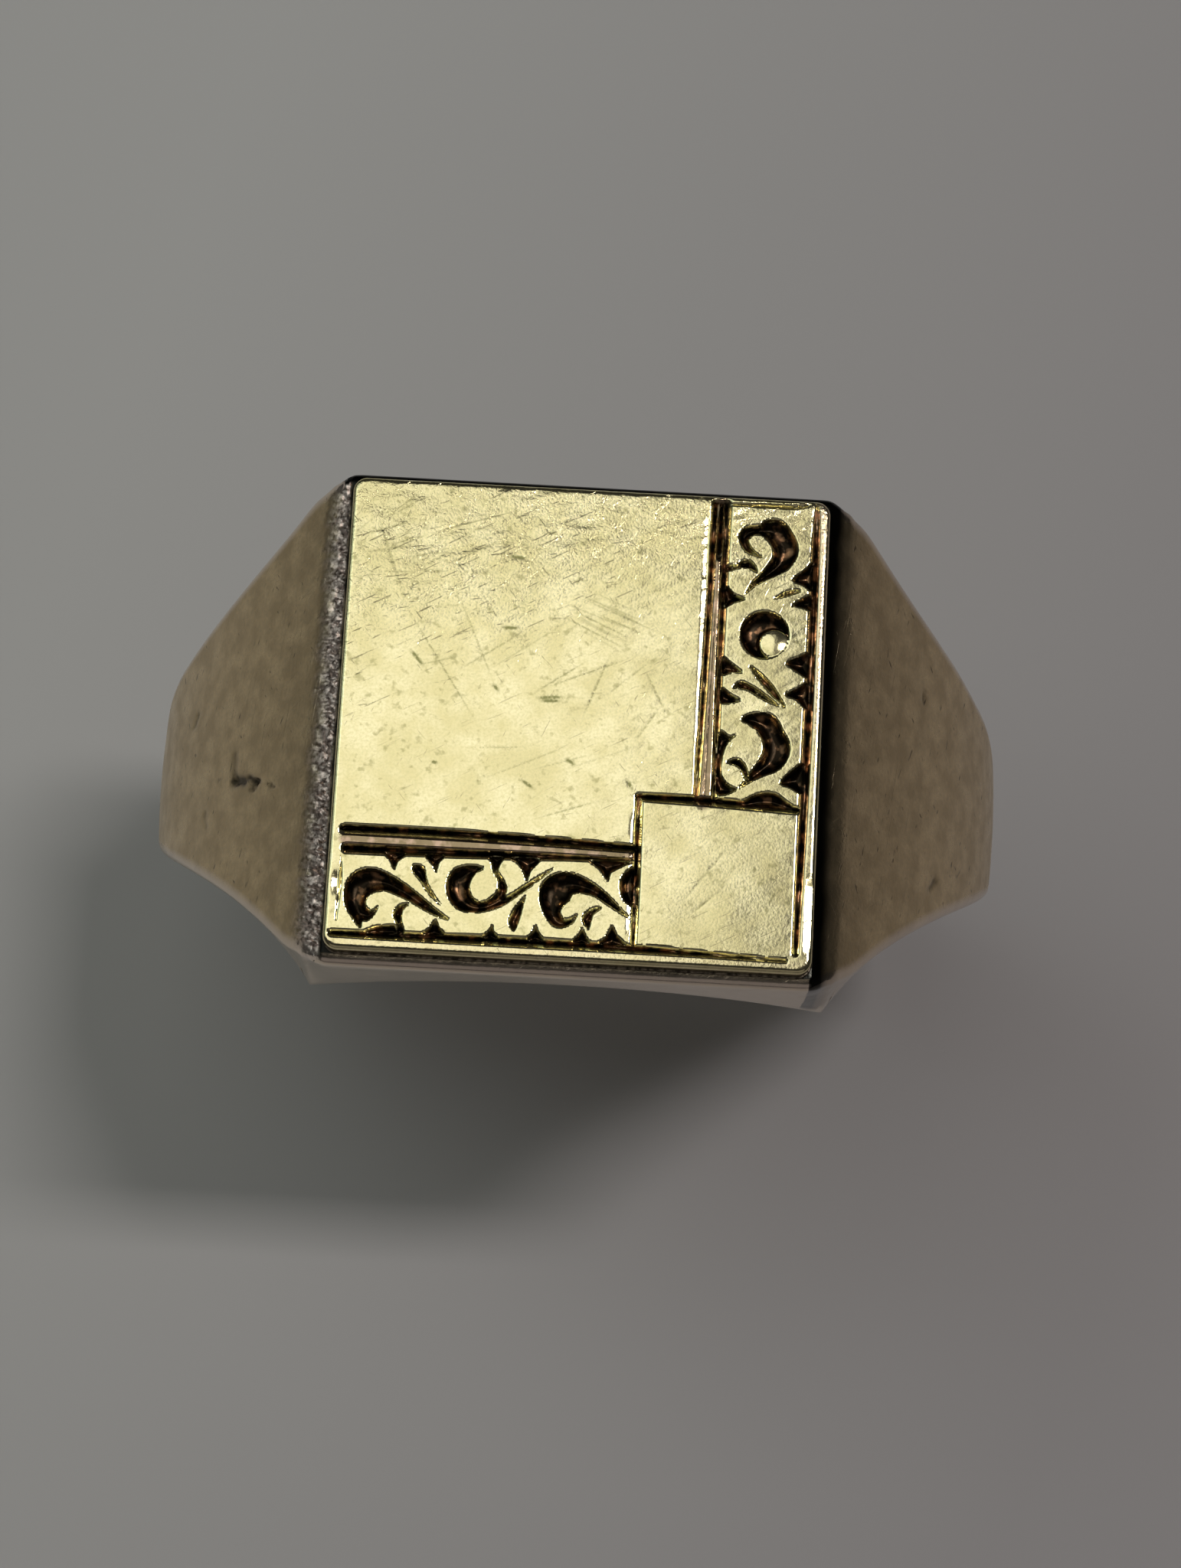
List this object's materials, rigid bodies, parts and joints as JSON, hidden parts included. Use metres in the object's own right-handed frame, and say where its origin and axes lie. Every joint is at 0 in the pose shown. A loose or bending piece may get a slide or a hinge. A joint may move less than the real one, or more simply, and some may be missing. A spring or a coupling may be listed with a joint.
{
  "type": "signet ring",
  "caption": "Square-headed signet ring: a flat engraved plate with scroll borders and a plain corner square, soldered on a head that tapers into a D-section shank.",
  "frame": {"origin": "middle of the finger hole, on its axis", "axes": "+Y along the finger hole, +Z out through the engraved table, X across the head from the left shoulder to the right"},
  "size_m": [0.0232, 0.0126, 0.0236],
  "materials": {
    "plate_gold": "satin",
    "body_gold": "polished",
    "solder": "satin"
  },
  "bodies": {
    "root": {"table_plate": "plate_gold", "plate_solder": "solder", "head": "body_gold", "shank": "body_gold", "left_seam_solder": "solder", "right_seam_solder": "solder"}
  },
  "joints": []
}
